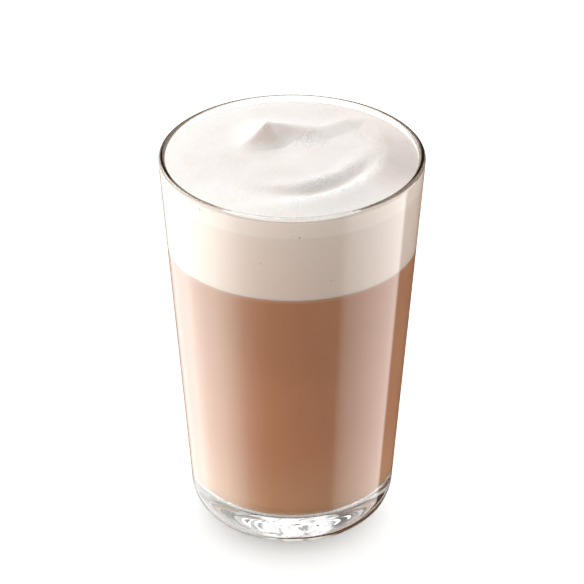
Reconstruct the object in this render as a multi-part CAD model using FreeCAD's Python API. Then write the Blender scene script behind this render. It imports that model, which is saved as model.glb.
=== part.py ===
"""A cappuccino in a conical glass tumbler: heavy-based glass, milk coffee and a swirled head of milk foam.

The three pieces share one frame in millimetres: +Z up, the origin on the glass's axis at the height of
the surface it stands on.  The glass is turned from a tapered wall, a rounded heel that runs into a narrow
foot ring, a shallow punt under the base and a fire-polished lip.  Coffee and foam are cut from the one
cavity of the glass, so they meet its wall, its floor and each other face to face.  The head of foam is
closed by a single smooth surface: a low crown, one spoon stroke that starts in a drawn-up peak, runs along
the back and swings round the front as an outer ridge, and the furrow that it leaves on its inner side.
"""

import FreeCAD
import Part
import math
import os

from FreeCAD import Vector

# ---- Glass tumbler ----------------------------------------------------------------------------------
GLASS_HEIGHT = 116.8      # foot ring to the top of the lip
RIM_DIAMETER = 76.0       # outside of the lip
BASE_DIAMETER = 57.5      # the straight wall carried down to the table, before the heel is rounded
RIM_WALL = 2.0            # wall thickness at the lip
FLOOR_WALL = 2.7          # wall thickness level with the floor of the cavity
LIP_ROUND = 0.9           # fire-polished round on both edges of the lip, if the wall is thick enough
LIP_SHARE = 0.46          # of the wall at the lip, the most that one of its rounds may take
HEEL_ROUND = 12.8         # large round between the wall and the underside
FOOT_ROUND = 4.0          # smaller round that carries the heel down to the foot ring
FOOT_RING_INSET = 7.85    # from the straight wall's line in to the flat ring that the glass stands on
FOOT_RING_WIDTH = 2.4
PUNT_DEPTH = 1.6          # hollow under the base, inside the foot ring
BASE_THICKNESS = 9.9      # table to the lowest point of the cavity
FLOOR_DISH = 0.7          # how far the floor sags from its edge to its middle
FLOOR_ROUND = 9.0         # round between the cavity's floor and its wall

# ---- Drink ------------------------------------------------------------------------------------------
FOAM_DEPTH = 26.3         # coffee level to the edge of the foam at the wall
FOAM_BELOW_RIM = 1.5      # top of the lip to the edge of the foam at the wall
FOAM_CROWN = 1.5          # rise of the foam from the wall to the middle
CROWN_FLATNESS = 4        # power of its fall towards the wall; a high one is flat in the middle
CROWN_REACH = 1.1         # shares of the edge's radius beyond which it falls no further

# ---- Swirl on the foam ------------------------------------------------------------------------------
# Each line is (across, away from the front, height in mm) with both places as shares of the foam's radius.
PEAK = (-0.203, 0.345, 4.3)
TAIL = ((-0.440, 0.085, 0.0), (-0.345, 0.180, 1.4), (-0.268, 0.268, 2.9), PEAK)
STROKE = (
    PEAK, (-0.110, 0.385, 3.0), (-0.010, 0.400, 2.2), (0.120, 0.395, 1.6), (0.260, 0.435, 1.1),
    (0.430, 0.560, 0.8), (0.600, 0.600, 0.7), (0.690, 0.420, 0.8), (0.745, 0.180, 0.95),
    (0.755, -0.060, 1.0), (0.690, -0.290, 1.0), (0.560, -0.490, 0.95), (0.390, -0.640, 0.9),
    (0.210, -0.745, 0.8), (0.020, -0.800, 0.65), (-0.170, -0.815, 0.4), (-0.380, -0.790, 0.1),
    (-0.500, -0.760, 0.0),
)
FURROW = (
    (0.700, 0.150, 0.0), (0.670, 0.020, -0.3), (0.610, -0.140, -0.8), (0.510, -0.310, -1.2),
    (0.360, -0.475, -1.2), (0.190, -0.580, -1.1), (0.030, -0.620, -0.8), (-0.130, -0.600, -0.4),
    (-0.300, -0.550, 0.0),
)
SHOULDER = (
    (0.640, 0.200, 0.0), (0.590, 0.060, 0.3), (0.515, -0.110, 0.55), (0.400, -0.270, 0.7),
    (0.240, -0.410, 0.7), (0.060, -0.490, 0.6), (-0.130, -0.510, 0.4), (-0.340, -0.490, 0.15),
    (-0.520, -0.430, 0.0),
)
HOLLOW = (-0.100, 0.020, -0.6)   # dip at the foot of the peak's steep face
LINE_STEPS = 6            # straight pieces between two points of a line
CREST_WIDTH = 3.0         # from the stroke's crest to its foot, where the crest is lowest
CREST_SPREAD = 1.65       # mm of that width gained for each mm of height, on the inner side
CREST_FACE = 1.2          # 1 for a flat inner side, more for one that hollows out
CREST_BACK = 1.6          # how much wider the stroke is on its outer side
CREST_BACK_HOLLOW = 2.2   # as CREST_FACE, for the outer side
CREST_ROUND = 1.4         # softens the crest where it is low; the peak stays sharp
FURROW_WIDTH = 2.4
SHOULDER_WIDTH = 3.2
HOLLOW_WIDTH = 5.0
WALL_FADE = 4.5           # the swirl fades out over this distance towards the wall
WALL_FADE_END = 1.0       # where that distance ends, past the wall

SURFACE_STEP = 1.5        # spacing of the points that the foam's smooth surface passes through
SURFACE_OVERHANG = 3.0    # how far that surface runs past the wall before it is trimmed

LEVEL_TOLERANCE = 1e-4    # an edge this close to a height lies at it


def wall_radius(height, outside=True):
    """Radius of the tapered wall at a height, on its outside or its inside."""
    rim = RIM_DIAMETER / 2
    base = BASE_DIAMETER / 2
    outer = base + (rim - base) * height / GLASS_HEIGHT
    if outside:
        return outer
    share = (height - BASE_THICKNESS) / (GLASS_HEIGHT - BASE_THICKNESS)
    return outer - FLOOR_WALL - (RIM_WALL - FLOOR_WALL) * share


def clear_height():
    """A height above both the lip and the foam's peak."""
    return GLASS_HEIGHT + PEAK[2] + FOAM_CROWN


def heel_centre():
    """Centre of the heel's arc, its direction to the wall that it touches, and the foot arc's centre."""
    taper = math.atan2((RIM_DIAMETER - BASE_DIAMETER) / 2, GLASS_HEIGHT)
    along = Vector(math.sin(taper), 0, math.cos(taper))
    inwards = Vector(-math.cos(taper), 0, math.sin(taper))
    start = Vector(BASE_DIAMETER / 2, 0, 0) + inwards * HEEL_ROUND
    foot = Vector(BASE_DIAMETER / 2 - FOOT_RING_INSET, 0, FOOT_ROUND)
    gap = start - foot
    half = gap.dot(along)
    rest = gap.dot(gap) - (HEEL_ROUND - FOOT_ROUND) ** 2
    return start + along * (-half + math.sqrt(half * half - rest)), inwards * -1, foot


def revolve(edges):
    """Turns a closed half-profile, drawn in the XZ plane, about the glass's axis."""
    face = Part.Face(Part.Wire(edges))
    return face.revolve(Vector(0, 0, 0), Vector(0, 0, 1), 360)


def line(start, end):
    """Straight edge between two points."""
    return Part.LineSegment(start, end).toShape()


def arc_about(centre, radius, start, end):
    """Arc in the XZ plane between two directions from its centre, by way of their bisector."""
    middle = (start.normalize() + end.normalize()).normalize()
    points = [centre + direction * radius for direction in (start, middle, end)]
    return Part.Arc(*points).toShape(), points[0], points[2]


def circles_at(shape, height):
    """Edges of a turned shape that lie wholly at one height."""
    found = []
    for edge in shape.Edges:
        box = edge.BoundBox
        if abs(box.ZMin - height) < LEVEL_TOLERANCE and abs(box.ZMax - height) < LEVEL_TOLERANCE:
            found.append(edge)
    return found


def glass_blank():
    """The tumbler's outside as a solid, before the cavity is taken out."""
    centre, outwards, foot = heel_centre()
    down = Vector(0, 0, -1)
    away = foot - centre
    heel, heel_top, heel_end = arc_about(centre, HEEL_ROUND, outwards, Vector(away))
    foot_arc, foot_top, foot_end = arc_about(foot, FOOT_ROUND, Vector(away), down)
    rim = Vector(RIM_DIAMETER / 2, 0, GLASS_HEIGHT)
    ring_inside = Vector(foot.x - FOOT_RING_WIDTH, 0, 0)
    punt_radius = (ring_inside.x ** 2 + PUNT_DEPTH ** 2) / (2 * PUNT_DEPTH)
    half_angle = math.asin(ring_inside.x / punt_radius) / 2
    punt_middle = Vector(
        punt_radius * math.sin(half_angle), 0, PUNT_DEPTH - punt_radius * (1 - math.cos(half_angle)))
    punt_top = Vector(0, 0, PUNT_DEPTH)
    top = Vector(0, 0, GLASS_HEIGHT)
    return revolve([
        line(top, rim),
        line(rim, heel_top),
        heel,
        foot_arc,
        line(foot_end, ring_inside),
        Part.Arc(ring_inside, punt_middle, punt_top).toShape(),
        line(punt_top, top),
    ])


def cavity():
    """The space inside the tumbler, with its dished floor and rounded corner, carried on above the lip."""
    floor_edge = BASE_THICKNESS + FLOOR_DISH
    corner = Vector(wall_radius(floor_edge, outside=False), 0, floor_edge)
    above = clear_height()
    mouth = Vector(wall_radius(above, outside=False), 0, above)
    top = Vector(0, 0, above)
    bottom = Vector(0, 0, BASE_THICKNESS)
    dish_radius = (corner.x ** 2 + FLOOR_DISH ** 2) / (2 * FLOOR_DISH)
    half_angle = math.asin(corner.x / dish_radius) / 2
    dish_middle = Vector(
        dish_radius * math.sin(half_angle), 0, BASE_THICKNESS + dish_radius * (1 - math.cos(half_angle)))
    sharp = revolve([
        Part.Arc(bottom, dish_middle, corner).toShape(),
        line(corner, mouth),
        line(mouth, top),
        line(top, bottom),
    ])
    return sharp.makeFillet(FLOOR_ROUND, circles_at(sharp, floor_edge))


def glass_tumbler(space):
    """The tumbler: its blank with the cavity taken out and the lip rounded."""
    open_glass = glass_blank().cut(space)
    lip_round = min(LIP_ROUND, LIP_SHARE * RIM_WALL)
    return open_glass.makeFillet(lip_round, circles_at(open_glass, GLASS_HEIGHT))


def smooth_step(value):
    """Rises smoothly from 0 to 1 as value does, and is level outside that range."""
    held = min(1.0, max(0.0, value))
    return held * held * (3 - 2 * held)


def bell(distance, width):
    """Rounded bump: 1 in the middle, about a third at one width, and flat further out."""
    return math.exp(-(distance / width) ** 2)


def ramp(distance, width, hollow):
    """Side of a pointed ridge: 1 at the crest, falling to 0 at the width, flat or hollowed out."""
    return max(0.0, 1 - distance / width) ** hollow


def foam_edge_height():
    """Height of the foam where it meets the wall."""
    return GLASS_HEIGHT - FOAM_BELOW_RIM


def foam_edge_radius():
    """Radius of the foam where it meets the wall."""
    return wall_radius(foam_edge_height(), outside=False)


def smooth_line(points):
    """Points in mm of a smooth line through the given ones, whose places are shares of the foam's radius."""
    radius = foam_edge_radius()
    knots = [(across * radius, away * radius, height) for across, away, height in points]
    line_points = []
    for before, start, end, after in zip([knots[0], *knots], knots, knots[1:], [*knots[2:], knots[-1]]):
        for step in range(LINE_STEPS):
            t = step / LINE_STEPS
            line_points.append(tuple(
                (2 * b + (c - a) * t + (2 * a - 5 * b + 4 * c - d) * t ** 2 + (3 * b - a - 3 * c + d) * t ** 3) / 2
                for a, b, c, d in zip(before, start, end, after)))
    return [*line_points, knots[-1]]


def nearest(line_points, x, y):
    """Distance from a place to a line, the side of the line it lies on, and the line's height there."""
    best = (math.inf, 1.0, 0.0)
    for (x0, y0, height0), (x1, y1, height1) in zip(line_points, line_points[1:]):
        across, away = x1 - x0, y1 - y0
        share = ((x - x0) * across + (y - y0) * away) / (across ** 2 + away ** 2)
        share = min(max(share, 0.0), 1.0)
        distance = math.hypot(x - x0 - share * across, y - y0 - share * away)
        if distance < best[0]:
            side = across * (y - y0) - away * (x - x0)
            best = (distance, side, height0 + (height1 - height0) * share)
    return best


def crest_relief(line_points, x, y):
    """Height of the stroke over a place; it falls away more gently to its left, the swirl's outer side."""
    distance, side, height = nearest(line_points, x, y)
    rounding = CREST_ROUND * (1 - height / PEAK[2])
    distance = math.hypot(distance, rounding) - rounding
    width = CREST_WIDTH + CREST_SPREAD * height
    if side > 0:
        return height * ramp(distance, width * CREST_BACK, CREST_BACK_HOLLOW)
    return height * ramp(distance, width, CREST_FACE)


CREST_LINE = [*smooth_line(TAIL)[:-1], *smooth_line(STROKE)]
FURROW_LINE = smooth_line(FURROW)
SHOULDER_LINE = smooth_line(SHOULDER)


def foam_surface_height(x, y):
    """Height of the foam's surface over a point of the plan."""
    edge = foam_edge_radius()
    off_axis = math.hypot(x, y)
    crown = FOAM_CROWN * (1 - min(off_axis / edge, CROWN_REACH) ** CROWN_FLATNESS)
    relief = crest_relief(CREST_LINE, x, y)
    for line_points, width in ((FURROW_LINE, FURROW_WIDTH), (SHOULDER_LINE, SHOULDER_WIDTH)):
        distance, _, height = nearest(line_points, x, y)
        relief += height * bell(distance, width)
    relief += HOLLOW[2] * bell(math.hypot(x - HOLLOW[0] * edge, y - HOLLOW[1] * edge), HOLLOW_WIDTH)
    return foam_edge_height() + crown + relief * smooth_step((edge + WALL_FADE_END - off_axis) / WALL_FADE)


def foam_surface():
    """The foam's top as one smooth face that overhangs the wall all round."""
    reach = wall_radius(GLASS_HEIGHT, outside=False) + SURFACE_OVERHANG
    count = 2 * math.ceil(reach / SURFACE_STEP) + 1
    grid = []
    for row in range(count):
        y = -reach + 2 * reach * row / (count - 1)
        points = []
        for column in range(count):
            x = -reach + 2 * reach * column / (count - 1)
            points.append(Vector(x, y, foam_surface_height(x, y)))
        grid.append(points)
    surface = Part.BSplineSurface()
    surface.interpolate(grid)
    return surface.toShape()


def coffee_level():
    """Height at which the coffee ends and the foam begins."""
    return foam_edge_height() - FOAM_DEPTH


def slab(low, high):
    """A block twice as wide as the glass between two heights, to cut a layer of drink from the cavity."""
    width = 2 * RIM_DIAMETER
    return Part.makeBox(width, width, high - low, Vector(-width / 2, -width / 2, low))


def milk_coffee(space):
    """The coffee, which fills the cavity up to the foam."""
    return space.common(slab(0, coffee_level()))


def milk_foam(space):
    """The head of foam: the cavity above the coffee, trimmed by the swirled surface."""
    column = space.common(slab(coffee_level(), clear_height()))
    above = foam_surface().extrude(Vector(0, 0, 2 * clear_height()))
    return column.cut(above)


def main():
    """Builds the three pieces and writes each to its own file."""
    os.makedirs("parts", exist_ok=True)
    space = cavity()
    pieces = {
        "glass_tumbler": glass_tumbler(space),
        "milk_coffee": milk_coffee(space),
        "milk_foam": milk_foam(space),
    }
    for name, shape in pieces.items():
        solid = shape.Solids[0]
        print(name, "solids", len(shape.Solids), "valid", solid.isValid(), "volume cm3",
              round(solid.Volume / 1000, 2), "box", solid.BoundBox)
        solid.exportStep(f"parts/{name}.step")


main()
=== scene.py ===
"""Looks of a cappuccino in a conical glass tumbler.

The tumbler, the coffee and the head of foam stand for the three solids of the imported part.  The glass is
spun from the same outline as its solid.  Coffee and foam reach a fraction of a millimetre into the wall,
so that no air shows between drink and glass.  The foam carries the spoon's swirl, its pores and the
bubbles that stand on it, and a few air bubbles cling to the inside of the wall.
"""

import logging
import math
import random
from dataclasses import dataclass, field
from enum import Enum

import bmesh
import bpy
import numpy as np
from mathutils import Matrix, Vector, noise


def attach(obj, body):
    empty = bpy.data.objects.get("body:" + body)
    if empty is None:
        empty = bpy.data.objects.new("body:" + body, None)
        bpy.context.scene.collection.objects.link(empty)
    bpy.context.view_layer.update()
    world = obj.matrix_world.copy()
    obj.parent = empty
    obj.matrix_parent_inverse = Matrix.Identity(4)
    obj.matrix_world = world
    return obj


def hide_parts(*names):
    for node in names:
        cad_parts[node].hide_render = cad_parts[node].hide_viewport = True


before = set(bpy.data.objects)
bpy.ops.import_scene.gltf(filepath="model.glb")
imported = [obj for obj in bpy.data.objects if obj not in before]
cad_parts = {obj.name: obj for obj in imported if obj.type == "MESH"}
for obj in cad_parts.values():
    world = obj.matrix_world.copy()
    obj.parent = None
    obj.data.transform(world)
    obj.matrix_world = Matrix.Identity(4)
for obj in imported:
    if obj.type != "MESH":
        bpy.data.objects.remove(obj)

LOG = logging.getLogger("cappuccino")
MM = 0.001
WHITE = "#FFFFFF"
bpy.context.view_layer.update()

# Heights above the table and the reach into the wall, in mm.
COFFEE_LEVEL = 89.0
FOAM_EDGE = 115.3
SWELL = 0.15

Colour = tuple[float, float, float, float]
Line = tuple[tuple[float, float, float], ...]
Stops = tuple[tuple[float, float, str], ...]


# ---- Colours and nodes ------------------------------------------------------------------------------
def linear(hex_colour: str) -> Colour:
    """Turns an sRGB hex colour to the linear values that a shader takes.

    Args:
        hex_colour: six hex digits with a leading hash.

    Returns:
        Red, green, blue and an alpha of 1.
    """
    channels = []
    for start in (1, 3, 5):
        value = int(hex_colour[start:start + 2], 16) / 255
        channels.append(value / 12.92 if value <= 0.04045 else ((value + 0.055) / 1.055) ** 2.4)
    return (channels[0], channels[1], channels[2], 1.0)


def add_node(tree: bpy.types.NodeTree, kind: str, settings: dict | None = None,
             inputs: dict | None = None) -> bpy.types.Node:
    """Adds a node with its settings, and its inputs as values or links.

    Args:
        tree: the node tree of a material or a world.
        kind: the node's type name without its ShaderNode prefix.
        settings: properties of the node itself.
        inputs: socket name or number to a value or to the output socket that feeds it.

    Returns:
        The new node.
    """
    node = tree.nodes.new("ShaderNode" + kind)
    for name, value in (settings or {}).items():
        setattr(node, name, value)
    for name, value in (inputs or {}).items():
        if isinstance(value, bpy.types.NodeSocket):
            tree.links.new(value, node.inputs[name])
        else:
            node.inputs[name].default_value = value
    return node


def set_ramp(node: bpy.types.Node, stops: Stops) -> None:
    """Sets a new Color Ramp's stops.

    Args:
        node: the Color Ramp.
        stops: place from 0 to 1, brightness and hex colour, in order of place.
    """
    elements = node.color_ramp.elements
    elements.remove(elements[-1])
    for index, (spot, value, colour) in enumerate(stops):
        element = elements[0] if index == 0 else elements.new(spot)
        element.position = spot
        element.color = (*(channel * value for channel in linear(colour)[:3]), 1.0)


def by_bearing(tree: bpy.types.NodeTree, point: bpy.types.NodeSocket, stops: Stops) -> bpy.types.NodeSocket:
    """Colour by bearing about the vertical axis: 0 at the back, 90 right, -90 left and 180 at the front.

    Args:
        tree: the node tree of a material or a world.
        point: the point or direction whose bearing counts.
        stops: bearing in degrees, brightness and hex colour, from -180 to 180.

    Returns:
        The colour, as bright as the stops say.
    """
    parts = add_node(tree, "SeparateXYZ", inputs={0: point})
    angle = add_node(tree, "Math", {"operation": "ARCTAN2"}, {0: parts.outputs["X"], 1: parts.outputs["Y"]})
    bearing = add_node(tree, "MapRange", inputs={
        "Value": angle.outputs[0], "From Min": -math.pi, "From Max": math.pi})
    brightest = max(value for _, value, _ in stops)
    ramp = add_node(tree, "ValToRGB", inputs={0: bearing.outputs[0]})
    set_ramp(ramp, tuple(
        (degrees / 360 + 0.5, value / brightest, colour) for degrees, value, colour in stops))
    return add_node(tree, "VectorMath", {"operation": "SCALE"}, {
        0: ramp.outputs[0], "Scale": brightest}).outputs[0]


def blank_material(name: str) -> tuple[bpy.types.Material, bpy.types.NodeTree, bpy.types.Node]:
    """Makes an empty node material.

    Args:
        name: the material's name.

    Returns:
        The material, its node tree and its output node.
    """
    material = bpy.data.materials.new(name)
    material.use_nodes = True
    tree = material.node_tree
    tree.nodes.clear()
    return material, tree, add_node(tree, "OutputMaterial")


def touch_glass(tree: bpy.types.NodeTree, body: bpy.types.NodeSocket, ior: float,
                share: float = 1.0, colour: str = WHITE) -> bpy.types.NodeSocket:
    """Adds the mirror that a clear wall shows where it meets a thinner medium, strongest at a low angle.

    Args:
        tree: the material's node tree.
        body: shader of the drink itself.
        ior: refractive index of the drink's skin as a share of the glass's.
        share: how much of the wall mirrors; the rest is wetted and shows the drink.
        colour: hex colour of the mirror.

    Returns:
        Shader of the drink behind the mirror.
    """
    edge = add_node(tree, "Fresnel", inputs={"IOR": ior})
    held = add_node(tree, "Math", {"operation": "MULTIPLY"}, {0: edge.outputs[0], 1: share})
    mirror = add_node(tree, "BsdfGlossy", inputs={"Color": linear(colour), "Roughness": 0.0})
    return add_node(tree, "MixShader", inputs={0: held.outputs[0], 1: body, 2: mirror.outputs[0]}).outputs[0]


# ---- Finishes ---------------------------------------------------------------------------------------
@dataclass(frozen=True)
class SodaLimeGlass:
    """Pressed soda-lime glass, fire-polished: clear and smooth, with a faint grey-green cast in its depth."""

    colour: str = "#FBFCFB"
    shadow_colour: str = "#F4F3F1"
    ior: float = 1.52

    def make(self) -> bpy.types.Material:
        """Builds the material; light reaches the drink straight through the wall.

        Returns:
            The material.
        """
        material, tree, output = blank_material("soda_lime_glass")
        glass = add_node(tree, "BsdfPrincipled", inputs={
            "Base Color": linear(self.colour), "Roughness": 0.0, "IOR": self.ior,
            "Transmission Weight": 1.0})
        clear = add_node(tree, "BsdfTransparent", inputs={"Color": linear(self.shadow_colour)})
        path = add_node(tree, "LightPath")
        unseen = add_node(tree, "Math", {"operation": "MAXIMUM"}, {
            0: path.outputs["Is Shadow Ray"], 1: path.outputs["Is Diffuse Ray"]})
        mix = add_node(tree, "MixShader", inputs={
            0: unseen.outputs[0], 1: glass.outputs[0], 2: clear.outputs[0]})
        tree.links.new(mix.outputs[0], output.inputs["Surface"])
        return material


@dataclass(frozen=True)
class MilkCoffee:
    """Espresso in steamed milk: an opaque brown liquid, a little paler where it meets the foam.

    `bounced` is the colour that it gives to the light it throws on the floor, nearly neutral, so that the
    floor round the glass stays white.
    """

    low: float = 9.0
    level: float = COFFEE_LEVEL
    middle_at: float = 0.35
    upper_at: float = 0.85
    foam_at: float = 0.985
    near_foam: str = "#BC9074"
    upper: str = "#AE7A5B"
    middle: str = "#BA8160"
    bottom: str = "#C49572"
    bounced: str = "#6C7074"
    streak_width: float = 26.0
    streak_tone: float = 0.03
    wet_contact: float = 0.888

    def make(self) -> bpy.types.Material:
        """Builds the material from the height above the table, with slow streaks of milk.

        Returns:
            The material.
        """
        material, tree, output = blank_material("milk_coffee")
        coords = add_node(tree, "TexCoord")
        parts = add_node(tree, "SeparateXYZ", inputs={0: coords.outputs["Object"]})
        height = add_node(tree, "MapRange", inputs={
            "Value": parts.outputs["Z"], "From Min": self.low * MM, "From Max": self.level * MM})
        ramp = add_node(tree, "ValToRGB", inputs={0: height.outputs[0]})
        set_ramp(ramp, (
            (0.0, 1.0, self.bottom), (self.middle_at, 1.0, self.middle), (self.upper_at, 1.0, self.upper),
            (self.foam_at, 1.0, self.upper), (1.0, 1.0, self.near_foam)))
        clouds = add_node(tree, "TexNoise", inputs={
            "Vector": coords.outputs["Object"], "Scale": 1 / (self.streak_width * MM), "Detail": 2.0})
        shade = add_node(tree, "MapRange", inputs={
            "Value": clouds.outputs[0], "From Min": 0.3, "From Max": 0.7,
            "To Min": 1 - self.streak_tone, "To Max": 1 + self.streak_tone})
        streaks = add_node(tree, "VectorMath", {"operation": "SCALE"}, {
            0: ramp.outputs[0], "Scale": shade.outputs[0]})
        path = add_node(tree, "LightPath")
        colour = add_node(tree, "Mix", {"data_type": "RGBA"}, {
            0: path.outputs["Is Diffuse Ray"], 6: streaks.outputs[0], 7: linear(self.bounced)})
        body = add_node(tree, "BsdfPrincipled", inputs={
            "Base Color": colour.outputs[2], "Roughness": 0.5, "Specular IOR Level": 0.0,
            "Subsurface Weight": 0.25, "Subsurface Radius": (1.0, 0.6, 0.4), "Subsurface Scale": 2.0 * MM})
        tree.links.new(touch_glass(tree, body.outputs[0], self.wet_contact), output.inputs["Surface"])
        return material


class FoamPart(Enum):
    """Where a face of the foam lies."""

    TOP = "milk_foam_top"
    SIDE = "milk_foam_side"


@dataclass(frozen=True)
class MilkFoam:
    """Steamed milk foam: matt and off-white, fine pores on top, tinted by coffee where it meets the wall.

    Part of the shade is painted into the top's colour: its middle is dimmed, its outer part is dimmed by
    bearing, most on the right, and faces that fall steeply to the front take a painted shade colour.  Where
    the foam is coarse, bright and dull cells are painted glints.  A thin dark line under the side's top edge
    is painted shade, and the side mirrors faintly where it doesn't touch the wall.
    """

    low: float = COFFEE_LEVEL
    high: float = FOAM_EDGE
    top_colour: str = "#F9F3EF"
    pore_colour: str = "#F5EEE9"
    side_low: str = "#DCC8BC"
    side_high: str = "#E2D1C6"
    fill_line: float = 109.9
    over_line: str = "#E9DBD1"
    line_blur: float = 0.015
    pore_size: float = 0.55
    pore_strength: float = 0.9
    pore_depth: float = 0.25
    lump_size: float = 7.0
    # Painted glints: bright and dull cells where the foam is coarse.
    painted_glint_size: float = 0.42
    painted_glint: float = 0.20
    foam_contact: float = 0.80
    foam_mirror: float = 0.85
    # A thin painted dark line just under the side's top edge: painted shade.
    painted_rim_shade: str = "#CFC2B7"
    painted_rim_shade_height: float = 0.2
    painted_rim_shade_blur: float = 0.006
    mirror_colour: str = "#FFF0E4"
    # Painted shade colour for faces that fall steeply to the front.
    painted_shade_colour: str = "#DCC9C1"
    # Painted shade: the middle of the top is dimmed, and from the first radius to the second the dimming by
    # bearing takes over.
    edge_from: float = 20.0
    edge_to: float = 27.0
    painted_middle_shade: float = 0.90
    painted_edge_light: Stops = (
        (-180, 1.0, WHITE), (-140, 1.0, WHITE), (-110, 0.9, WHITE), (0, 0.88, WHITE), (55, 0.85, "#FFFDFC"),
        (75, 0.76, "#FFFBF8"), (100, 0.71, "#FFFBF8"), (112, 0.84, "#FFFBF8"), (130, 0.98, WHITE),
        (180, 1.0, WHITE))

    def make(self, part: FoamPart) -> bpy.types.Material:
        """Builds the material for the open top or for the side behind the glass.

        Args:
            part: where the faces lie.

        Returns:
            The material.
        """
        material, tree, output = blank_material(part.value)
        coords = add_node(tree, "TexCoord")
        colour = self._top(tree, coords) if part is FoamPart.TOP else self._side(tree, coords)
        settings = {
            "Base Color": colour, "Roughness": 0.55, "Specular IOR Level": 0.35,
            "Subsurface Weight": 0.6, "Subsurface Radius": (1.0, 0.85, 0.75), "Subsurface Scale": 2.5 * MM}
        if part is FoamPart.TOP:
            settings["Normal"] = self._pores(tree, coords)
        else:
            settings["Specular IOR Level"] = 0.0
        body = add_node(tree, "BsdfPrincipled", inputs=settings)
        skin = body.outputs[0]
        if part is FoamPart.SIDE:
            skin = touch_glass(tree, skin, self.foam_contact, self.foam_mirror, self.mirror_colour)
        tree.links.new(skin, output.inputs["Surface"])
        return material

    def _top(self, tree: bpy.types.NodeTree, coords: bpy.types.Node) -> bpy.types.NodeSocket:
        """Colours the top off-white, faintly duller in patches, with painted shade by place and painted
        glints where the foam is coarse.

        Args:
            tree: the material's node tree.
            coords: its Texture Coordinate node.

        Returns:
            The colour.
        """
        patches = add_node(tree, "TexNoise", inputs={
            "Vector": coords.outputs["Object"], "Scale": 1 / (self.lump_size * MM), "Detail": 4.0})
        ramp = add_node(tree, "ValToRGB", inputs={0: patches.outputs[0]})
        set_ramp(ramp, ((0.3, 1.0, self.pore_colour), (0.55, 1.0, self.top_colour)))
        flat = add_node(tree, "VectorMath", {"operation": "MULTIPLY"}, {
            0: coords.outputs["Object"], 1: (1, 1, 0)})
        off_axis = add_node(tree, "VectorMath", {"operation": "LENGTH"}, {0: flat.outputs[0]})
        edge = add_node(tree, "MapRange", {"interpolation_type": "SMOOTHSTEP"}, {
            "Value": off_axis.outputs["Value"],
            "From Min": self.edge_from * MM, "From Max": self.edge_to * MM})
        # Painted glints: random bright and dull cells, where the foam is coarse.
        cells = add_node(tree, "TexVoronoi", inputs={
            "Vector": coords.outputs["Object"], "Scale": 1 / (self.painted_glint_size * MM)})
        glint = add_node(tree, "SeparateXYZ", inputs={0: cells.outputs["Color"]})
        painted_glint = add_node(tree, "MapRange", inputs={
            "Value": glint.outputs["X"], "To Min": -self.painted_glint / 2, "To Max": self.painted_glint})
        froth = add_node(tree, "Attribute", {"attribute_name": "froth"})
        gain = add_node(tree, "Math", {"operation": "MULTIPLY_ADD"}, {
            0: painted_glint.outputs[0], 1: froth.outputs["Fac"], 2: 1.0})
        # Painted shade: the middle dimmed, the outer part dimmed by bearing.
        middle = (self.painted_middle_shade, self.painted_middle_shade, self.painted_middle_shade, 1.0)
        light = add_node(tree, "Mix", {"data_type": "RGBA"}, {
            0: edge.outputs[0], 6: middle, 7: by_bearing(tree, coords.outputs["Object"], self.painted_edge_light)})
        grainy = add_node(tree, "VectorMath", {"operation": "SCALE"}, {
            0: light.outputs[2], "Scale": gain.outputs[0]})
        lit = add_node(tree, "VectorMath", {"operation": "MULTIPLY"}, {
            0: ramp.outputs[0], 1: grainy.outputs[0]})
        # Painted shade on faces that stand over the crown and fall steeply to the front.
        painted_steep_shade = add_node(tree, "Attribute", {"attribute_name": "painted_steep_shade"})
        return add_node(tree, "Mix", {"data_type": "RGBA"}, {
            0: painted_steep_shade.outputs["Fac"], 6: lit.outputs[0], 7: linear(self.painted_shade_colour)}).outputs[2]

    def _side(self, tree: bpy.types.NodeTree, coords: bpy.types.Node) -> bpy.types.NodeSocket:
        """Colours the side, paler towards the top and above the line to which the glass was filled first,
        with a thin painted shade line under its top edge.

        Args:
            tree: the material's node tree.
            coords: its Texture Coordinate node.

        Returns:
            The colour.
        """
        parts = add_node(tree, "SeparateXYZ", inputs={0: coords.outputs["Object"]})
        height = add_node(tree, "MapRange", inputs={
            "Value": parts.outputs["Z"], "From Min": self.low * MM, "From Max": self.high * MM})
        line = (self.fill_line - self.low) / (self.high - self.low)
        ramp = add_node(tree, "ValToRGB", inputs={0: height.outputs[0]})
        # Where the thin painted shade line under the top edge begins.
        wet = 1 - self.painted_rim_shade_height / (self.high - self.low)
        set_ramp(ramp, (
            (0.0, 1.0, self.side_low), (line - self.line_blur, 1.0, self.side_high),
            (line + self.line_blur, 1.0, self.over_line), (wet - self.painted_rim_shade_blur, 1.0, self.over_line),
            (wet, 1.0, self.painted_rim_shade)))
        return ramp.outputs[0]

    def _pores(self, tree: bpy.types.NodeTree, coords: bpy.types.Node) -> bpy.types.NodeSocket:
        """Gives the top a relief of fine pores, stronger where the foam is coarse.

        Args:
            tree: the material's node tree.
            coords: its Texture Coordinate node.

        Returns:
            The normal.
        """
        froth = add_node(tree, "Attribute", {"attribute_name": "froth"})
        cells = add_node(tree, "TexVoronoi", inputs={
            "Vector": coords.outputs["Object"], "Scale": 1 / (self.pore_size * MM)})
        grain = add_node(tree, "TexNoise", inputs={
            "Vector": coords.outputs["Object"], "Scale": 1 / (self.pore_size * 2 * MM), "Detail": 3.0})
        height = add_node(tree, "Math", {"operation": "MULTIPLY_ADD"}, {
            0: cells.outputs["Distance"], 1: froth.outputs["Fac"], 2: grain.outputs[0]})
        bump = add_node(tree, "Bump", inputs={
            "Height": height.outputs[0], "Strength": self.pore_strength, "Distance": self.pore_depth * MM})
        return bump.outputs[0]


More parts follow.
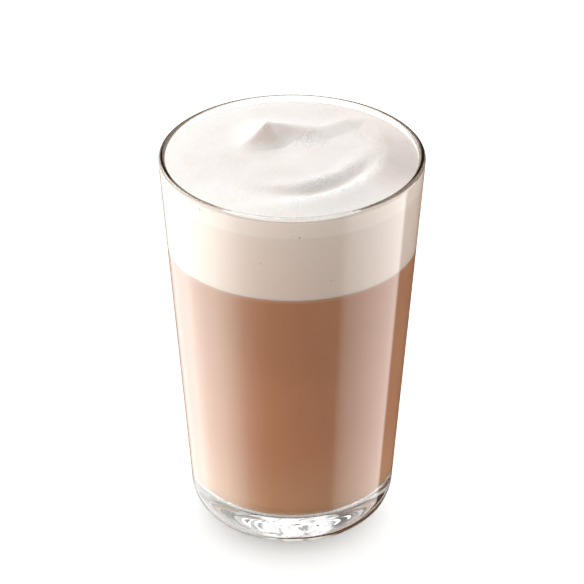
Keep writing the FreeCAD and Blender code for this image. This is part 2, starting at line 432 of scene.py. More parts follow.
@dataclass(frozen=True)
class BubbleSkin:
    """Film of a milk bubble: wet and glossy over the foam or the coffee behind it."""

    name: str = "milk_bubble_skin"
    colour: str = "#FFFDFA"
    roughness: float = 0.12
    tone_size: float = 1.5

    def make(self) -> bpy.types.Material:
        """Builds the material, with a slow change of tone from bubble to bubble.

        Returns:
            The material.
        """
        material, tree, output = blank_material(self.name)
        coords = add_node(tree, "TexCoord")
        tone = add_node(tree, "TexNoise", inputs={
            "Vector": coords.outputs["Object"], "Scale": 1 / (self.tone_size * MM), "Detail": 1.0})
        shade = add_node(tree, "MapRange", inputs={
            "Value": tone.outputs[0], "From Min": 0.3, "From Max": 0.7, "To Min": 0.9, "To Max": 1.0})
        base = add_node(tree, "RGB")
        base.outputs[0].default_value = linear(self.colour)
        tint = add_node(tree, "VectorMath", {"operation": "SCALE"}, {
            0: base.outputs[0], "Scale": shade.outputs[0]})
        body = add_node(tree, "BsdfPrincipled", inputs={
            "Base Color": tint.outputs[0], "Roughness": self.roughness})
        tree.links.new(body.outputs[0], output.inputs["Surface"])
        return material


# ---- Shared shapes ----------------------------------------------------------------------------------
def arc(centre: Vector, radius: float, start: float, end: float, count: int) -> list[Vector]:
    """Points of an arc in the XZ plane, both ends included.

    Args:
        centre: the arc's centre.
        radius: its radius.
        start: angle from +X at which it starts.
        end: angle at which it ends.
        count: stretches between the ends.

    Returns:
        The points in order.
    """
    points = []
    for step in range(count + 1):
        angle = start + (end - start) * step / count
        points.append(centre + Vector((math.cos(angle), 0, math.sin(angle))) * radius)
    return points


def fillet(before: Vector, corner: Vector, after: Vector, radius: float, count: int) -> list[Vector]:
    """Points of the arc that rounds a corner between two straight lines in the XZ plane.

    Args:
        before: a point of the line that comes in.
        corner: where the two lines meet.
        after: a point of the line that goes on.
        radius: the arc's radius.
        count: stretches of the arc.

    Returns:
        The points in order.
    """
    back = (before - corner).normalized()
    on = (after - corner).normalized()
    half = back.angle(on) / 2
    centre = corner + (back + on).normalized() * (radius / math.sin(half))
    first = corner + back * (radius / math.tan(half)) - centre
    last = corner + on * (radius / math.tan(half)) - centre
    start = math.atan2(first.z, first.x)
    turn = (math.atan2(last.z, last.x) - start + math.pi) % (2 * math.pi) - math.pi
    return arc(centre, radius, start, start + turn, count)


def straight(start: Vector, end: Vector, count: int, hold: float = 0.35) -> list[Vector]:
    """Points between two ends, with one held close to each so that a smooth wall stays straight.

    Args:
        start: the end that comes first.
        end: the other end.
        count: stretches between them.
        hold: distance of the held points from the ends.

    Returns:
        The points in order, without the ends.
    """
    length = (end - start).length
    shares = [hold / length, *(step / count for step in range(1, count)), 1 - hold / length]
    return [start.lerp(end, share) for share in shares]


def finished_mesh(name: str, bm: bmesh.types.BMesh) -> bpy.types.Mesh:
    """Turns a bmesh to a mesh with smooth faces and frees it.

    Args:
        name: the mesh's name.
        bm: the finished bmesh.

    Returns:
        The mesh.
    """
    for face in bm.faces:
        face.smooth = True
    mesh = bpy.data.meshes.new(name)
    bm.to_mesh(mesh)
    bm.free()
    return mesh


def spun_mesh(name: str, profile: list[Vector], steps: int) -> bpy.types.Mesh:
    """Turns a profile that starts and ends on the axis into a closed mesh.

    Args:
        name: the mesh's name.
        profile: points in the XZ plane in mm.
        steps: faces round the axis.

    Returns:
        The mesh in metres, with smooth faces and outward normals.
    """
    bm = bmesh.new()
    verts = [bm.verts.new(point * MM) for point in profile]
    edges = [bm.edges.new(pair) for pair in zip(verts, verts[1:])]
    bmesh.ops.spin(bm, geom=verts + edges, cent=(0, 0, 0), axis=(0, 0, 1), angle=2 * math.pi,
                   steps=steps, use_merge=True, use_duplicate=False)
    bmesh.ops.remove_doubles(bm, verts=bm.verts, dist=1e-7)
    bmesh.ops.recalc_face_normals(bm, faces=bm.faces)
    return finished_mesh(name, bm)


def place(name: str, mesh: bpy.types.Mesh, slot: str, *materials: bpy.types.Material) -> bpy.types.Object:
    """Links a mesh as a piece of the object, riding on its one body.

    Args:
        name: the piece's name.
        mesh: its finished mesh.
        slot: a material slot's name, not used.
        materials: its materials, in the order of their index.

    Returns:
        The piece.
    """
    piece = bpy.data.objects.new(name, mesh)
    bpy.context.scene.collection.objects.link(piece)
    for material in materials:
        mesh.materials.append(material)
    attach(piece, "root")
    LOG.info("%s: %d faces", name, len(mesh.polygons))
    return piece


# ---- Tumbler ----------------------------------------------------------------------------------------
@dataclass
class Tumbler:
    """Conical tumbler with a heavy rounded base, sizes in mm."""

    height: float = 116.8
    rim_diameter: float = 76.0
    base_diameter: float = 57.5
    rim_wall: float = 2.0
    floor_wall: float = 2.7
    lip_round: float = 0.9
    heel_round: float = 12.8
    foot_round: float = 4.0
    foot_ring_inset: float = 7.85
    foot_ring_width: float = 2.4
    punt_depth: float = 1.6
    base_thickness: float = 9.9
    floor_dish: float = 0.7
    floor_round: float = 9.0
    ripple: float = 0.55
    ripple_width: float = 4.5
    fine_ripple: float = 0.30
    fine_ripple_width: float = 1.5
    ripple_from: float = 0.5
    ripple_top: float = 5.0
    punt_steps: int = 44
    wide_arc_steps: int = 20
    tight_arc_steps: int = 10
    straight_steps: int = 14
    steps: int = 256
    sharp_edge: float = 50.0
    finish: SodaLimeGlass = field(default_factory=SodaLimeGlass)

    def wall_radius(self, height: float, outside: bool = True) -> float:
        """Radius of the tapered wall at a height.

        Args:
            height: height above the table.
            outside: whether the outside counts, or the inside.

        Returns:
            The radius.
        """
        base = self.base_diameter / 2
        outer = base + (self.rim_diameter / 2 - base) * height / self.height
        if outside:
            return outer
        share = (height - self.base_thickness) / (self.height - self.base_thickness)
        return outer - self.floor_wall - (self.rim_wall - self.floor_wall) * share

    def inner_point(self, height: float, swell: float = 0.0) -> Vector:
        """Point of the cavity's wall at a height, moved into the glass by a swell."""
        return Vector((self.wall_radius(height, outside=False) + swell, 0, height))

    def underside(self) -> list[Vector]:
        """Profile from the axis over the punt, the foot ring and the heel to the foot of the wall.

        Returns:
            Points from the axis outwards and upwards.
        """
        base = self.base_diameter / 2
        taper = math.atan2(self.rim_diameter / 2 - base, self.height)
        along = Vector((math.sin(taper), 0, math.cos(taper)))
        inwards = Vector((-math.cos(taper), 0, math.sin(taper)))
        start = Vector((base, 0, 0)) + inwards * self.heel_round
        foot = Vector((base - self.foot_ring_inset, 0, self.foot_round))
        gap = start - foot
        half = gap.dot(along)
        rest = gap.dot(gap) - (self.heel_round - self.foot_round) ** 2
        heel = start + along * (-half + math.sqrt(half * half - rest))
        away = foot - heel
        turn = math.atan2(away.z, away.x)
        ring = foot.x - self.foot_ring_width
        radius = (ring ** 2 + self.punt_depth ** 2) / (2 * self.punt_depth)
        reach = math.asin(ring / radius)
        punt = arc(Vector((0, 0, self.punt_depth - radius)), radius, math.pi / 2, math.pi / 2 - reach,
                   self.punt_steps)
        flat = straight(punt[-1], Vector((foot.x, 0, 0)), 2, 0.15)
        foot_arc = arc(foot, self.foot_round, -math.pi / 2, turn, self.tight_arc_steps)
        heel_arc = arc(heel, self.heel_round, turn, -taper, self.wide_arc_steps)
        return [*punt, *flat, *foot_arc, *heel_arc[1:]]

    def cavity(self, swell: float = 0.0, top: float | None = None) -> list[Vector]:
        """Profile of the cavity from the axis along the floor and up the wall to a height.

        Args:
            swell: mm by which the profile is moved into the glass.
            top: height at which it ends, or None for just under the lip.

        Returns:
            Points from the axis outwards and upwards.
        """
        floor_edge = self.base_thickness + self.floor_dish - swell
        corner = self.inner_point(floor_edge, swell)
        slope = 2 * self.floor_dish / corner.x
        before = corner - Vector((10.0, 0, 10.0 * slope))
        above = self.inner_point(self.height, swell)
        rounded = fillet(before, corner, above, self.floor_round, self.wide_arc_steps)
        first = rounded[0]
        middle = self.base_thickness - swell
        floor = []
        for step in range(self.straight_steps):
            share = step / self.straight_steps
            floor.append(Vector((first.x * share, 0, middle + (first.z - middle) * share ** 2)))
        end = self.inner_point(self.height - 2 if top is None else top, swell)
        return [*floor, *rounded, *straight(rounded[-1], end, self.straight_steps), end]

    def lip(self) -> list[Vector]:
        """Profile over the lip.

        Returns:
            Points from the outside to the inside.
        """
        outer = Vector((self.rim_diameter / 2, 0, self.height))
        inner = self.inner_point(self.height)
        low_out = Vector((self.wall_radius(0), 0, 0))
        low_in = self.inner_point(self.base_thickness)
        over = fillet(low_out, outer, inner, self.lip_round, self.tight_arc_steps)
        under = fillet(outer, inner, low_in, self.lip_round, self.tight_arc_steps)
        return [*over, *under]

    def ripples(self, mesh: bpy.types.Mesh) -> None:
        """Sinks the punt and the heel by slow waves and fine ones, and leaves the foot ring flat.

        Args:
            mesh: the glass's mesh, which is changed.
        """
        normals = [vertex.normal.copy() for vertex in mesh.vertices]
        for vertex, normal in zip(mesh.vertices, normals):
            spot = vertex.co / MM
            if spot.z > self.ripple_top:
                continue
            slow = 0.5 + 0.5 * noise.noise(spot / self.ripple_width)
            fine = 0.5 + 0.5 * noise.noise(spot / self.fine_ripple_width + Vector((9, 0, 0)))
            fade = (1 - max(spot.z, 0) / self.ripple_top) * min(max(spot.z, 0) / self.ripple_from, 1)
            vertex.co -= normal * fade * (slow * self.ripple + fine * self.fine_ripple) * MM

    def build(self) -> bpy.types.Object:
        """Spins the glass, which stands for its solid.

        Returns:
            The piece.
        """
        outside = self.underside()
        lip = self.lip()
        inside = list(reversed(self.cavity(top=lip[-1].z)))
        profile = [*outside, *straight(outside[-1], lip[0], self.straight_steps), *lip, *inside[1:]]
        mesh = spun_mesh("glass", profile, self.steps)
        self.ripples(mesh)
        mesh.set_sharp_from_angle(angle=math.radians(self.sharp_edge))
        piece = place("tumbler", mesh, "glass", self.finish.make())
        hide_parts("glass_tumbler")
        return piece


# ---- Coffee -----------------------------------------------------------------------------------------
@dataclass
class Coffee:
    """The coffee, which fills the cavity up to the foam, sizes in mm."""

    tumbler: Tumbler
    level: float = COFFEE_LEVEL
    swell: float = SWELL
    steps: int = 160
    sharp_edge: float = 50.0
    finish: MilkCoffee = field(default_factory=MilkCoffee)

    def build(self) -> bpy.types.Object:
        """Spins the coffee a little into the wall, in place of its solid.

        Returns:
            The piece.
        """
        profile = self.tumbler.cavity(self.swell, self.level)
        edge = profile[-1].x
        top = [Vector((edge * (1 - share), 0, self.level)) for share in (0.3, 0.6, 1.0)]
        mesh = spun_mesh("coffee", [*profile, *top], self.steps)
        mesh.set_sharp_from_angle(angle=math.radians(self.sharp_edge))
        piece = place("coffee", mesh, "coffee", self.finish.make())
        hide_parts("milk_coffee")
        return piece


# ---- Foam -------------------------------------------------------------------------------------------
@dataclass
class Swirl:
    """Relief that the spoon leaves on the foam: a drawn-up peak, its stroke and the furrow inside it.

    Lines give (across, away from the front, height in mm), with places as shares of the foam's radius.  The
    values from `steep_reach` on say where shade is painted on the top and where the foam is coarse;
    `froth_start` is the point of the crest line from which its flank is coarse.
    """

    peak: tuple[float, float, float] = (-0.203, 0.345, 4.3)
    tail: Line = ((-0.440, 0.085, 0.0), (-0.345, 0.180, 1.4), (-0.268, 0.268, 2.9))
    stroke: Line = (
        (-0.110, 0.385, 3.0), (-0.010, 0.400, 2.2), (0.120, 0.395, 1.6), (0.260, 0.435, 1.1),
        (0.430, 0.560, 0.8), (0.600, 0.600, 0.7), (0.690, 0.420, 0.8), (0.745, 0.180, 0.95),
        (0.755, -0.060, 1.0), (0.690, -0.290, 1.0), (0.560, -0.490, 0.95), (0.390, -0.640, 0.9),
        (0.210, -0.745, 0.8), (0.020, -0.800, 0.65), (-0.170, -0.815, 0.4), (-0.380, -0.790, 0.1),
        (-0.500, -0.760, 0.0))
    furrow: Line = (
        (0.700, 0.150, 0.0), (0.670, 0.020, -0.1), (0.610, -0.140, -0.4), (0.510, -0.310, -0.8),
        (0.360, -0.475, -1.1), (0.190, -0.580, -1.1), (0.030, -0.620, -0.8), (-0.130, -0.600, -0.4),
        (-0.300, -0.550, 0.0))
    shoulder: Line = (
        (0.640, 0.200, 0.0), (0.590, 0.060, 0.3), (0.515, -0.110, 0.4), (0.400, -0.270, 0.6),
        (0.240, -0.410, 0.7), (0.060, -0.490, 0.6), (-0.130, -0.510, 0.4), (-0.340, -0.490, 0.15),
        (-0.520, -0.430, 0.0))
    hollow: tuple[float, float, float] = (-0.100, 0.020, -0.6)
    radius: float = 35.87
    line_steps: int = 6
    crest_width: float = 3.0
    crest_spread: float = 1.65
    crest_face: float = 1.2
    crest_back: float = 1.6
    crest_back_hollow: float = 2.2
    crest_round: float = 1.4
    furrow_width: float = 2.4
    shoulder_width: float = 3.2
    hollow_width: float = 5.0
    wall_fade: float = 4.5
    crown: float = 1.5
    crown_reach: float = 1.1
    wall_gap: float = 1.0
    # Where shade is painted on faces that fall steeply to the front.
    steep_reach: float = 1.4
    steep_from: float = 0.15
    steep_blend: float = 0.5
    steep_above_crown: float = 0.2
    froth_start: int = 30
    froth_front: float = 0.3
    froth_growth: float = 1.4
    froth_left: float = -4.0
    froth_blend: float = 10.0
    flank_away: float = 1.8
    flank_width: float = 1.6
    inner_width: float = 2.2
    inner_rise: float = 0.7
    face_middle: tuple[float, float] = (6.5, 8.5)
    face_reach: tuple[float, float] = (5.5, 4.0)

    def smooth_line(self, points: Line) -> np.ndarray:
        """Runs a smooth line through points.

        Args:
            points: the points that it passes, as shares of the foam's radius and a height.

        Returns:
            Points of the line in mm.
        """
        knots = np.array(points) * (self.radius, self.radius, 1.0)
        ends = np.vstack([knots[:1], knots, knots[-1:]])
        line = []
        for a, b, c, d in zip(ends, ends[1:], ends[2:], ends[3:]):
            for step in range(self.line_steps):
                t = step / self.line_steps
                line.append((2 * b + (c - a) * t + (2 * a - 5 * b + 4 * c - d) * t ** 2
                             + (3 * b - a - 3 * c + d) * t ** 3) / 2)
        return np.array([*line, knots[-1]])

    @staticmethod
    def nearest(line: np.ndarray, x: np.ndarray, y: np.ndarray) -> tuple[np.ndarray, np.ndarray, np.ndarray]:
        """Finds the nearest point of a line for each place.

        Args:
            line: points of the line.
            x: places across.
            y: places away from the front.

        Returns:
            The distance, the side of the line (positive to its left) and the line's height there.
        """
        start, run = line[:-1], np.diff(line, axis=0)
        best = np.full(x.shape, np.inf)
        side = np.zeros(x.shape)
        height = np.zeros(x.shape)
        for (x0, y0, z0), (dx, dy, dz) in zip(start, run):
            share = np.clip(((x - x0) * dx + (y - y0) * dy) / (dx * dx + dy * dy), 0, 1)
            distance = np.hypot(x - x0 - share * dx, y - y0 - share * dy)
            closer = distance < best
            best = np.where(closer, distance, best)
            side = np.where(closer, dx * (y - y0) - dy * (x - x0), side)
            height = np.where(closer, z0 + dz * share, height)
        return best, side, height

    def crest_line(self) -> np.ndarray:
        """The stroke's crest from its tail over the peak and round the front."""
        tail = self.smooth_line((*self.tail, self.peak))
        return np.vstack([tail[:-1], self.smooth_line((self.peak, *self.stroke))])

    def crest(self, x: np.ndarray, y: np.ndarray) -> np.ndarray:
        """Height of the stroke, which falls away more gently on the swirl's outer side.

        Args:
            x: places across in mm.
            y: places away from the front in mm.

        Returns:
            The height in mm for each place.
        """
        distance, side, height = self.nearest(self.crest_line(), x, y)
        rounding = self.crest_round * (1 - height / self.peak[2])
        distance = np.hypot(distance, rounding) - rounding
        width = self.crest_width + self.crest_spread * height
        back = np.clip(1 - distance / (width * self.crest_back), 0, 1) ** self.crest_back_hollow
        face = np.clip(1 - distance / width, 0, 1) ** self.crest_face
        return height * np.where(side > 0, back, face)

    def relief(self, x: np.ndarray, y: np.ndarray) -> np.ndarray:
        """Height of the foam above its edge at the wall.

        Args:
            x: places across in mm.
            y: places away from the front in mm.

        Returns:
            The height in mm for each place.
        """
        off_axis = np.hypot(x, y)
        crown = self.crown * (1 - np.minimum(off_axis / self.radius, self.crown_reach) ** 4)
        height = self.crest(x, y)
        for points, width in ((self.furrow, self.furrow_width), (self.shoulder, self.shoulder_width)):
            distance, _, depth = self.nearest(self.smooth_line(points), x, y)
            height = height + depth * np.exp(-(distance / width) ** 2)
        away = np.hypot(x - self.hollow[0] * self.radius, y - self.hollow[1] * self.radius)
        height = height + self.hollow[2] * np.exp(-(away / self.hollow_width) ** 2)
        fade = np.clip((self.radius + self.wall_gap - off_axis) / self.wall_fade, 0, 1)
        return crown + height * fade * fade * (3 - 2 * fade)

    def painted_steep_shade(self, x: np.ndarray, y: np.ndarray) -> np.ndarray:
        """Finds where the foam stands over its crown and falls steeply towards the front, where shade is
        painted.

        Args:
            x: places across in mm.
            y: places away from the front in mm.

        Returns:
            The share of painted shade, 0 to 1, for each place.
        """
        reach = self.steep_reach
        rise = (self.relief(x, y + reach) - self.relief(x, y - reach)) / (2 * reach)
        slope = np.clip((rise - self.steep_from) / self.steep_blend, 0, 1)
        return slope * np.clip(self.relief(x, y) - self.crown - self.steep_above_crown, 0, 1)

    def froth(self, x: np.ndarray, y: np.ndarray) -> np.ndarray:
        """Finds the coarse foam: along both edges of the furrow and right of the peak's face.

        Args:
            x: places across in mm.
            y: places away from the front in mm.

        Returns:
            The share of coarse bubbles, 0 to 1, for each place.
        """
        ridge, ridge_side, _ = self.nearest(self.crest_line()[self.froth_start:], x, y)
        edge, _, rise = self.nearest(self.smooth_line(self.shoulder), x, y)
        front = np.clip(self.froth_front - y / self.radius * self.froth_growth, 0, 1)
        front = front * np.clip((x - self.froth_left) / self.froth_blend, 0, 1)
        beside = np.exp(-((ridge - self.flank_away) / self.flank_width) ** 2)
        flank = np.where(ridge_side < 0, beside, 0) * front
        inner = np.exp(-(edge / self.inner_width) ** 2) * rise / self.inner_rise
        across = (x - self.face_middle[0]) / self.face_reach[0]
        away = (y - self.face_middle[1]) / self.face_reach[1]
        face = np.exp(-across ** 2 - away ** 2)
        return np.clip(np.maximum(np.maximum(flank, inner * front), face), 0, 1)


@dataclass
class FoamHead:
    """The head of foam on the coffee, sizes in mm."""

    tumbler: Tumbler
    low: float = COFFEE_LEVEL
    edge: float = FOAM_EDGE
    swell: float = SWELL
    rings: int = 118
    steps: int = 288
    side_steps: int = 12
    side_hold: float = 0.3
    sharp_edge: float = 60.0
    unevenness: float = 0.10
    lump_size: float = 6.0
    fine_size: float = 1.6
    fine_share: float = 0.45
    calm_width: float = 3.0
    smooth_share: float = 0.35
    swirl: Swirl = field(default_factory=Swirl)
    finish: MilkFoam = field(default_factory=MilkFoam)

    def surface(self, x: np.ndarray, y: np.ndarray) -> np.ndarray:
        """Height of the foam's top, the swirl with two slices of noise for slight lumps, calm at the wall.

        Args:
            x: places across in mm.
            y: places away from the front in mm.

        Returns:
            The height in mm for each place.
        """
        lumps, fine = (np.array([noise.noise(Vector((a / size, b / size, level))) for a, b in zip(x, y)])
                       for size, level in ((self.lump_size, 0.3), (self.fine_size, 4.7)))
        calm = np.clip((self.swirl.radius - np.hypot(x, y)) / self.calm_width, 0, 1)
        coarse = self.smooth_share + self.swirl.froth(x, y)
        uneven = calm * self.unevenness * (lumps + self.fine_share * fine * coarse)
        return self.edge + self.swirl.relief(x, y) + uneven

    def build(self) -> bpy.types.Object:
        """Spins the head, shapes its top and gives it its two materials.

        Returns:
            The piece.
        """
        outer = self.tumbler.inner_point(self.edge, self.swell)
        top = [Vector((outer.x * step / self.rings, 0, self.edge)) for step in range(self.rings)]
        foot = self.tumbler.inner_point(self.low, self.swell)
        side = straight(outer, foot, self.side_steps, self.side_hold)
        under = [Vector((foot.x * (1 - share), 0, self.low)) for share in (0.3, 0.6, 1.0)]
        mesh = spun_mesh("foam", [*top, outer, *side, foot, *under], self.steps)
        count = len(mesh.vertices)
        co = np.zeros(count * 3)
        mesh.vertices.foreach_get("co", co)
        co = co.reshape(-1, 3)
        on_top = co[:, 2] > (self.edge - 0.01) * MM
        x, y = co[on_top, 0] / MM, co[on_top, 1] / MM
        co[on_top, 2] = self.surface(x, y) * MM
        mesh.vertices.foreach_set("co", co.ravel())
        # The first attribute marks the coarse foam, the second where shade is painted.
        for name, shares in (("froth", self.swirl.froth(x, y)), ("painted_steep_shade", self.swirl.painted_steep_shade(x, y))):
            values = np.zeros(count)
            values[on_top] = shares
            mesh.attributes.new(name, "FLOAT", "POINT").data.foreach_set("value", values)
        mesh.update()
        piece = place("foam", mesh, "foam", *(self.finish.make(part) for part in FoamPart))
        for face in mesh.polygons:
            face.material_index = 0 if face.center.z > self.edge * MM - 1e-5 else 1
        mesh.set_sharp_from_angle(angle=math.radians(self.sharp_edge))
        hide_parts("milk_foam")
        return piece


@dataclass
class Bubbles:
    """Loose bubbles: fine ones that stand on the foam, and air caught against the wall; sizes in mm.

    Spots at the wall give a bearing from the front in degrees, a height and a radius.  A group of them gives
    how many there are and the range of each.
    """

    head: FoamHead
    seed: int = 11
    count: int = 1500
    smallest: float = 0.10
    largest: float = 0.42
    sunk: float = 0.6
    tries: int = 40
    clear_of_wall: float = 1.5
    gathering: float = 1.5
    strays: float = 0.012
    fineness: float = 2.5
    wall_spots: Line = ((0.5, 110.6, 0.1), (3.2, 110.2, 0.17), (-14.0, 101.0, 0.14), (18.0, 95.0, 0.12))
    wall_groups: tuple[tuple[int, tuple[tuple[float, float], ...]], ...] = (
        (18, ((-50, -37), (112.9, 114.6), (0.08, 0.2))),
        (9, ((-40, 40), (92, 113), (0.05, 0.08))))
    skin: BubbleSkin = field(default_factory=BubbleSkin)
    wall_skin: BubbleSkin = field(
        default_factory=lambda: BubbleSkin("air_bubble_at_wall", "#574537", 0.2))

    def _joined(self, name: str, balls: list[tuple[Vector, float]], detail: int) -> bpy.types.Mesh:
        """Joins small balls into one mesh.

        Args:
            name: the mesh's name.
            balls: centre and radius of each in mm.
            detail: subdivisions of each ball.

        Returns:
            The mesh.
        """
        bm = bmesh.new()
        for centre, radius in balls:
            matrix = Matrix.Translation(centre * MM)
            bmesh.ops.create_icosphere(bm, subdivisions=detail, radius=radius * MM, matrix=matrix)
        return finished_mesh(name, bm)

    def on_foam(self) -> bpy.types.Object:
        """Scatters bubbles where the foam is coarse, and a few strays.

        Returns:
            The piece.
        """
        rng = np.random.default_rng(self.seed)
        reach = self.head.swirl.radius - self.clear_of_wall
        x, y = rng.uniform(-reach, reach, (2, self.count * self.tries))
        chance = self.head.swirl.froth(x, y) ** self.gathering + self.strays
        keep = (np.hypot(x, y) < reach) & (rng.random(x.size) < chance)
        x, y = x[keep][:self.count], y[keep][:self.count]
        z = self.head.surface(x, y)
        size = self.smallest + (self.largest - self.smallest) * rng.random(x.size) ** self.fineness
        balls = [(Vector((a, b, c - r * self.sunk)), float(r)) for a, b, c, r in zip(x, y, z, size)]
        return place("foam_bubbles", self._joined("foam_bubbles", balls, 1), "foam", self.skin.make())

    def at_wall(self) -> bpy.types.Object:
        """Places the few air bubbles that cling to the inside of the wall.

        Returns:
            The piece.
        """
        rng = random.Random(self.seed)
        tumbler = self.head.tumbler
        spots = list(self.wall_spots)
        for count, ranges in self.wall_groups:
            spots += [tuple(rng.uniform(*ends) for ends in ranges) for _ in range(count)]
        balls = []
        for bearing, height, radius in spots:
            angle = math.radians(bearing - 90)
            reach = tumbler.wall_radius(height, outside=False) + self.head.swell
            balls.append((Vector((reach * math.cos(angle), reach * math.sin(angle), height)), radius))
        return place("wall_bubbles", self._joined("wall_bubbles", balls, 2), "foam", self.wall_skin.make())


# ---- Studio -----------------------------------------------------------------------------------------
@dataclass(frozen=True)
class Lamp:
    """A soft lamp: its middle, the point it faces, its size in metres and its strength."""

    name: str
    middle: tuple[float, float, float]
    aim: tuple[float, float, float]
    size: tuple[float, float]
    watts: float
    mirrored: bool = False


@dataclass(frozen=True)
class Surroundings:
    """What stands round the glass, by bearing in degrees: 0 behind it, 90 right, -90 left, 180 in front.

    Reflections show a wide softbox on the left that fades towards the front, a dim brown card behind, and a
    white card on the right with a sharp edge at the back.  Matt surfaces are lit from all sides, least from
    the front.  Bare glass shows white above the horizon, and bright and dark strips below it, which draw the
    sparkle in the base and the lines of the lip.
    """

    mirrored: Stops = (
        (-180, 0.0, WHITE), (-158, 0.0, WHITE), (-147, 0.3, "#F6FFFC"), (-140, 0.7, "#F8FFFD"),
        (-131, 1.4, "#F6FFFC"), (-124, 2.4, "#F6FFFC"), (-115, 3.6, "#F6FFFC"), (-100, 5.0, "#F6FFFC"),
        (-60, 5.0, "#F8FFFD"), (-45, 3.3, WHITE), (-30, 2.4, WHITE), (-16, 0.8, "#FFF4E8"),
        (-6, 0.3, "#C89668"), (0, 0.25, "#C89668"), (56, 0.2, "#E8D0B8"), (61, 3.0, WHITE), (85, 3.2, WHITE),
        (94, 3.1, WHITE), (103, 2.9, WHITE), (117, 2.3, WHITE), (126, 1.6, WHITE), (134, 0.2, WHITE),
        (180, 0.0, WHITE))
    fill: Stops = (
        (-180, 0.22, "#FFFBF8"), (-130, 0.40, WHITE), (-60, 0.7, WHITE), (0, 0.8, WHITE), (60, 0.7, WHITE),
        (130, 0.40, WHITE), (180, 0.22, "#FFFBF8"))
    through: Stops = (
        (-180, 0.25, WHITE), (-90, 0.35, WHITE), (-55, 0.5, WHITE), (-40, 0.7, WHITE), (-32, 0.05, WHITE),
        (-24, 0.05, WHITE), (-18, 0.9, WHITE), (-9, 1.2, WHITE), (-6, 0.35, "#F4EEE8"), (-4, 1.2, WHITE),
        (4, 1.3, WHITE), (6, 0.45, "#F4EEE8"), (8, 1.2, WHITE), (11, 1.1, WHITE), (15, 0.45, WHITE),
        (28, 0.5, WHITE), (36, 0.05, WHITE), (55, 0.1, WHITE), (80, 0.35, WHITE), (180, 0.25, WHITE))
    mirrored_above: float = 1.0
    above: float = 40.0
    above_blend: float = 15.0
    through_from: float = 4.0
    through_to: float = 16.0

    @staticmethod
    def _climb(tree: bpy.types.NodeTree, direction: bpy.types.NodeSocket, low: float,
               high: float) -> bpy.types.NodeSocket:
        """Rises from 0 to 1 as a direction climbs between two angles.

        Args:
            tree: the world's node tree.
            direction: the direction.
            low: angle above the horizon in degrees at which it is 0.
            high: angle at which it is 1.

        Returns:
            The number.
        """
        parts = add_node(tree, "SeparateXYZ", inputs={0: direction})
        return add_node(tree, "MapRange", inputs={
            "Value": parts.outputs["Z"], "From Min": math.sin(math.radians(low)),
            "From Max": math.sin(math.radians(high))}).outputs[0]

    @staticmethod
    def _choose(tree: bpy.types.NodeTree, share: bpy.types.NodeSocket, first: bpy.types.NodeSocket | float,
                second: bpy.types.NodeSocket | float) -> bpy.types.NodeSocket:
        """Mixes two colours, or greys given as one number."""
        ends = [(end, end, end, 1.0) if isinstance(end, float) else end for end in (first, second)]
        return add_node(tree, "Mix", {"data_type": "RGBA"}, {0: share, 6: ends[0], 7: ends[1]}).outputs[2]

    def build(self) -> None:
        """Makes the world: white to the eye, panels in reflections, a soft fill for everything else."""
        world = bpy.data.worlds.new("white_surroundings")
        bpy.context.scene.world = world
        world.use_nodes = True
        tree = world.node_tree
        tree.nodes.clear()
        output = add_node(tree, "OutputWorld")
        path = add_node(tree, "LightPath")
        towards = add_node(tree, "TexCoord").outputs["Generated"]
        fill = by_bearing(tree, towards, self.fill)
        mirrored = self._choose(tree, self._climb(tree, towards, self.above, self.above + self.above_blend),
                                by_bearing(tree, towards, self.mirrored), self.mirrored_above)
        through = self._choose(tree, self._climb(tree, towards, self.through_from, self.through_to),
                               1.0, by_bearing(tree, towards, self.through))
        glossy = self._choose(tree, path.outputs["Is Glossy Ray"], fill, mirrored)
        passed = self._choose(tree, path.outputs["Is Transmission Ray"], glossy, through)
        seen = self._choose(tree, path.outputs["Is Camera Ray"], passed, 1.0)
        light = add_node(tree, "Background", inputs={"Color": seen})
        tree.links.new(light.outputs[0], output.inputs["Surface"])


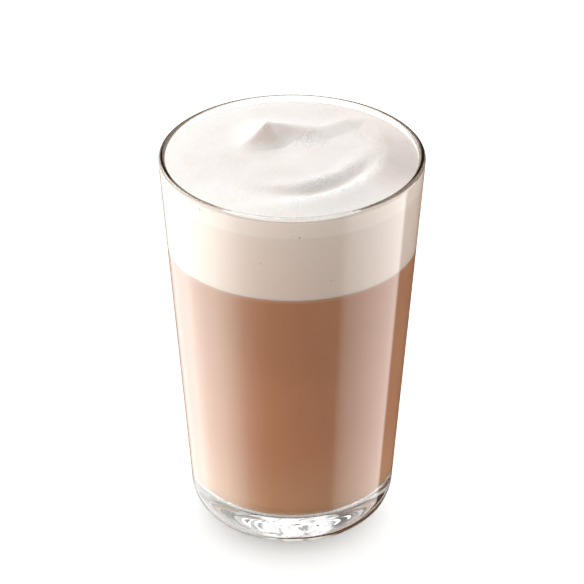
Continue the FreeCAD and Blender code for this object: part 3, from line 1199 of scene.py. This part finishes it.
@dataclass
class Studio:
    """Pale floor, white surroundings, soft lamps and the camera; sizes in metres.

    The floor is lit by the surroundings alone, and the camera sees it brighter by `floor_gain`, so that it
    is white with a close, soft shadow.
    """

    floor_size: float = 6.0
    floor_colour: str = "#F7F7F6"
    floor_gain: float = 2.8
    camera_place: tuple[float, float, float] = (0.0, -0.9995, 0.6499)
    look_down: float = 30.04
    lens: float = 246.6
    surroundings: Surroundings = field(default_factory=Surroundings)
    lamps: tuple[Lamp, ...] = (
        Lamp("left_strip", (-0.41, -0.29, 0.062), (0, 0, 0.062), (0.5, 0.1), 2.1),
        Lamp("right_strip", (0.47, 0.05, 0.055), (0, 0, 0.055), (0.5, 0.1), 1.6),
        Lamp("top_softbox", (-0.35, 0.4, 0.7), (0, 0, 0.1), (0.6, 0.6), 5.15, True),
    )

    def floor(self) -> bpy.types.Object:
        """Lays the floor, which keeps the object's shadow and doesn't mirror in the glass.

        Returns:
            The floor.
        """
        bm = bmesh.new()
        bmesh.ops.create_grid(bm, x_segments=1, y_segments=1, size=self.floor_size / 2)
        mesh = finished_mesh("floor", bm)
        floor = bpy.data.objects.new("floor", mesh)
        bpy.context.scene.collection.objects.link(floor)
        material, tree, output = blank_material("white_paper_floor")
        path = add_node(tree, "LightPath")
        seen = add_node(tree, "Math", {"operation": "MAXIMUM"}, {
            0: path.outputs["Is Camera Ray"], 1: path.outputs["Is Transmission Ray"]})
        gain = add_node(tree, "MapRange", inputs={
            "Value": seen.outputs[0], "To Min": 1.0, "To Max": self.floor_gain})
        paper = add_node(tree, "RGB")
        paper.outputs[0].default_value = linear(self.floor_colour)
        colour = add_node(tree, "VectorMath", {"operation": "SCALE"}, {
            0: paper.outputs[0], "Scale": gain.outputs[0]})
        body = add_node(tree, "BsdfDiffuse", inputs={"Color": colour.outputs[0]})
        tree.links.new(body.outputs[0], output.inputs["Surface"])
        mesh.materials.append(material)
        floor.visible_glossy = False
        return floor

    def hang_lamps(self, floor: bpy.types.Object) -> None:
        """Hangs the soft lamps, which leave out the floor.

        Args:
            floor: the floor that they don't light.
        """
        unlit = bpy.data.collections.new("left_out_by_lamps")
        unlit.objects.link(floor)
        unlit.collection_objects[0].light_linking.link_state = "EXCLUDE"
        for soft in self.lamps:
            light = bpy.data.lights.new(soft.name, "AREA")
            light.shape = "RECTANGLE"
            light.size, light.size_y = soft.size
            light.energy = soft.watts
            lamp = bpy.data.objects.new(soft.name, light)
            lamp.location = soft.middle
            lamp.rotation_euler = (Vector(soft.aim) - Vector(soft.middle)).to_track_quat("-Z", "Y").to_euler()
            lamp.visible_camera = False
            lamp.visible_transmission = False
            lamp.visible_glossy = soft.mirrored
            bpy.context.scene.collection.objects.link(lamp)
            lamp.light_linking.receiver_collection = unlit

    def camera(self) -> None:
        """Sets up the camera, which looks down on the glass."""
        data = bpy.data.cameras.new("camera")
        data.lens = self.lens
        data.sensor_width = 36.0
        camera = bpy.data.objects.new("camera", data)
        camera.location = self.camera_place
        camera.rotation_euler = (math.radians(90 - self.look_down), 0, 0)
        bpy.context.scene.collection.objects.link(camera)
        bpy.context.scene.camera = camera

    def build(self) -> None:
        """Sets up the whole studio."""
        bpy.context.scene.view_settings.view_transform = "Standard"
        floor = self.floor()
        self.surroundings.build()
        self.hang_lamps(floor)
        self.camera()


def main() -> None:
    """Builds the studio and the pieces in order."""
    logging.basicConfig(level=logging.INFO)
    Studio().build()
    tumbler = Tumbler()
    tumbler.build()
    Coffee(tumbler).build()
    head = FoamHead(tumbler)
    head.build()
    bubbles = Bubbles(head)
    bubbles.on_foam()
    bubbles.at_wall()


if __name__ == "__main__":
    main()
